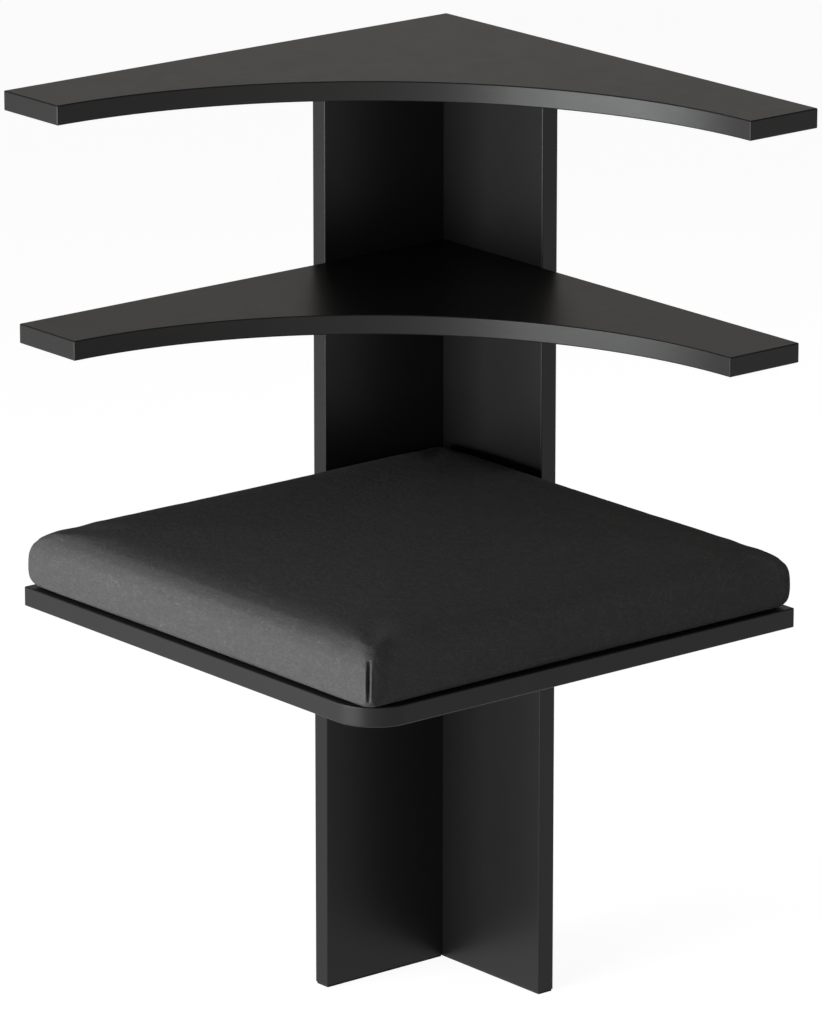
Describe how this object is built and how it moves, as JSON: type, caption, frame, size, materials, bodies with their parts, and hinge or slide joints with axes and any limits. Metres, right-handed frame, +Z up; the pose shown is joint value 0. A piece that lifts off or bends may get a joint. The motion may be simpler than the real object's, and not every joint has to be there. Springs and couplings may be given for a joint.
{
  "type": "corner bench",
  "caption": "Corner bench: an L-shaped post carries a square seat with a rounded front corner, a lift-off cushion and quarter-round shelves above it.",
  "frame": {"origin": "on the floor under the middle of the square footprint", "axes": "+Z up; the post stands in the corner at -X, +Y, and the sitter faces +X, -Y"},
  "size_m": [0.45, 0.45, 0.81],
  "materials": {
    "black_steel": "satin black powder coat",
    "black_board": "satin black lacquer",
    "bracket_steel": "satin black powder coat",
    "screw_steel": "blackened",
    "sleeve_brass": "turned",
    "foot_felt": "pressed felt",
    "hook_tape": "hook tape",
    "loop_tape": "loop tape",
    "cushion_cloth": "soft charcoal cloth",
    "base_cloth": "plain woven cloth",
    "foam": "open-cell foam"
  },
  "bodies": {
    "frame": {"right_upright": "black_steel", "left_upright": "black_steel", "seat_board": "black_board", "middle_shelf": "black_board", "top_shelf": "black_board", "seat_bracket": "bracket_steel", "middle_shelf_bracket": "bracket_steel", "top_shelf_bracket": "bracket_steel", "corner_screws": "screw_steel", "seat_bracket_bolts": "screw_steel", "middle_shelf_bracket_bolts": "screw_steel", "top_shelf_bracket_bolts": "screw_steel", "seat_screws": "screw_steel", "middle_shelf_screws": "screw_steel", "top_shelf_screws": "screw_steel", "seat_inserts": "sleeve_brass", "middle_shelf_inserts": "sleeve_brass", "top_shelf_inserts": "sleeve_brass", "right_foot_pad": "foot_felt", "left_foot_pad": "foot_felt", "hook_strips": "hook_tape"},
    "cushion": {"cushion_cover": "cushion_cloth", "cushion_base_panel": "base_cloth", "cushion_foam": "foam", "loop_strips": "loop_tape"}
  },
  "joints": [
    {"name": "cushion_lift", "type": "slide", "parent": "frame", "child": "cushion", "axis": [0, 0, 1], "range_m": [0, 0.12]}
  ]
}
